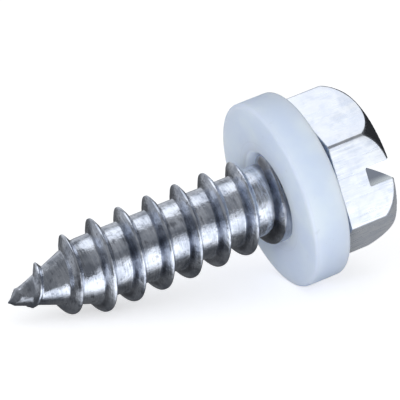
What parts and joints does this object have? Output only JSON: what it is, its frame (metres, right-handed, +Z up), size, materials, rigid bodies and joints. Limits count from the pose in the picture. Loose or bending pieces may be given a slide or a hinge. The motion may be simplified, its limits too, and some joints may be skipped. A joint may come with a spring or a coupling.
{
  "type": "hex head sheet metal screw",
  "caption": "Slotted hex head sheet metal screw with coarse spaced thread and cone point, carrying a captive plastic sealing washer, for fixing thin sheet or plates.",
  "frame": {"origin": "middle of the bottom of the bounding box, on the table that the screw lies on", "axes": "+Z is up. The screw's axis lies in the XZ plane and points to the head along +X, tilted 14.25 degrees up from +X, because the screw lies on the rim of its washer and on its thread. The point is at -X."},
  "size_m": [0.0204, 0.0098, 0.01],
  "materials": {
    "steel": "bright plated steel, polished on the thread and finely brushed on the head's flats",
    "nylon": "satin, slightly translucent bluish white"
  },
  "bodies": {
    "screw_body": {"screw": "steel"},
    "washer_body": {"washer": "nylon"}
  },
  "joints": [
    {"name": "washer_spin", "type": "hinge", "parent": "screw_body", "child": "washer_body", "pos_m": [0.0051, 0, 0.00501], "axis": [0.9692, 0, 0.2461], "continuous": true}
  ]
}
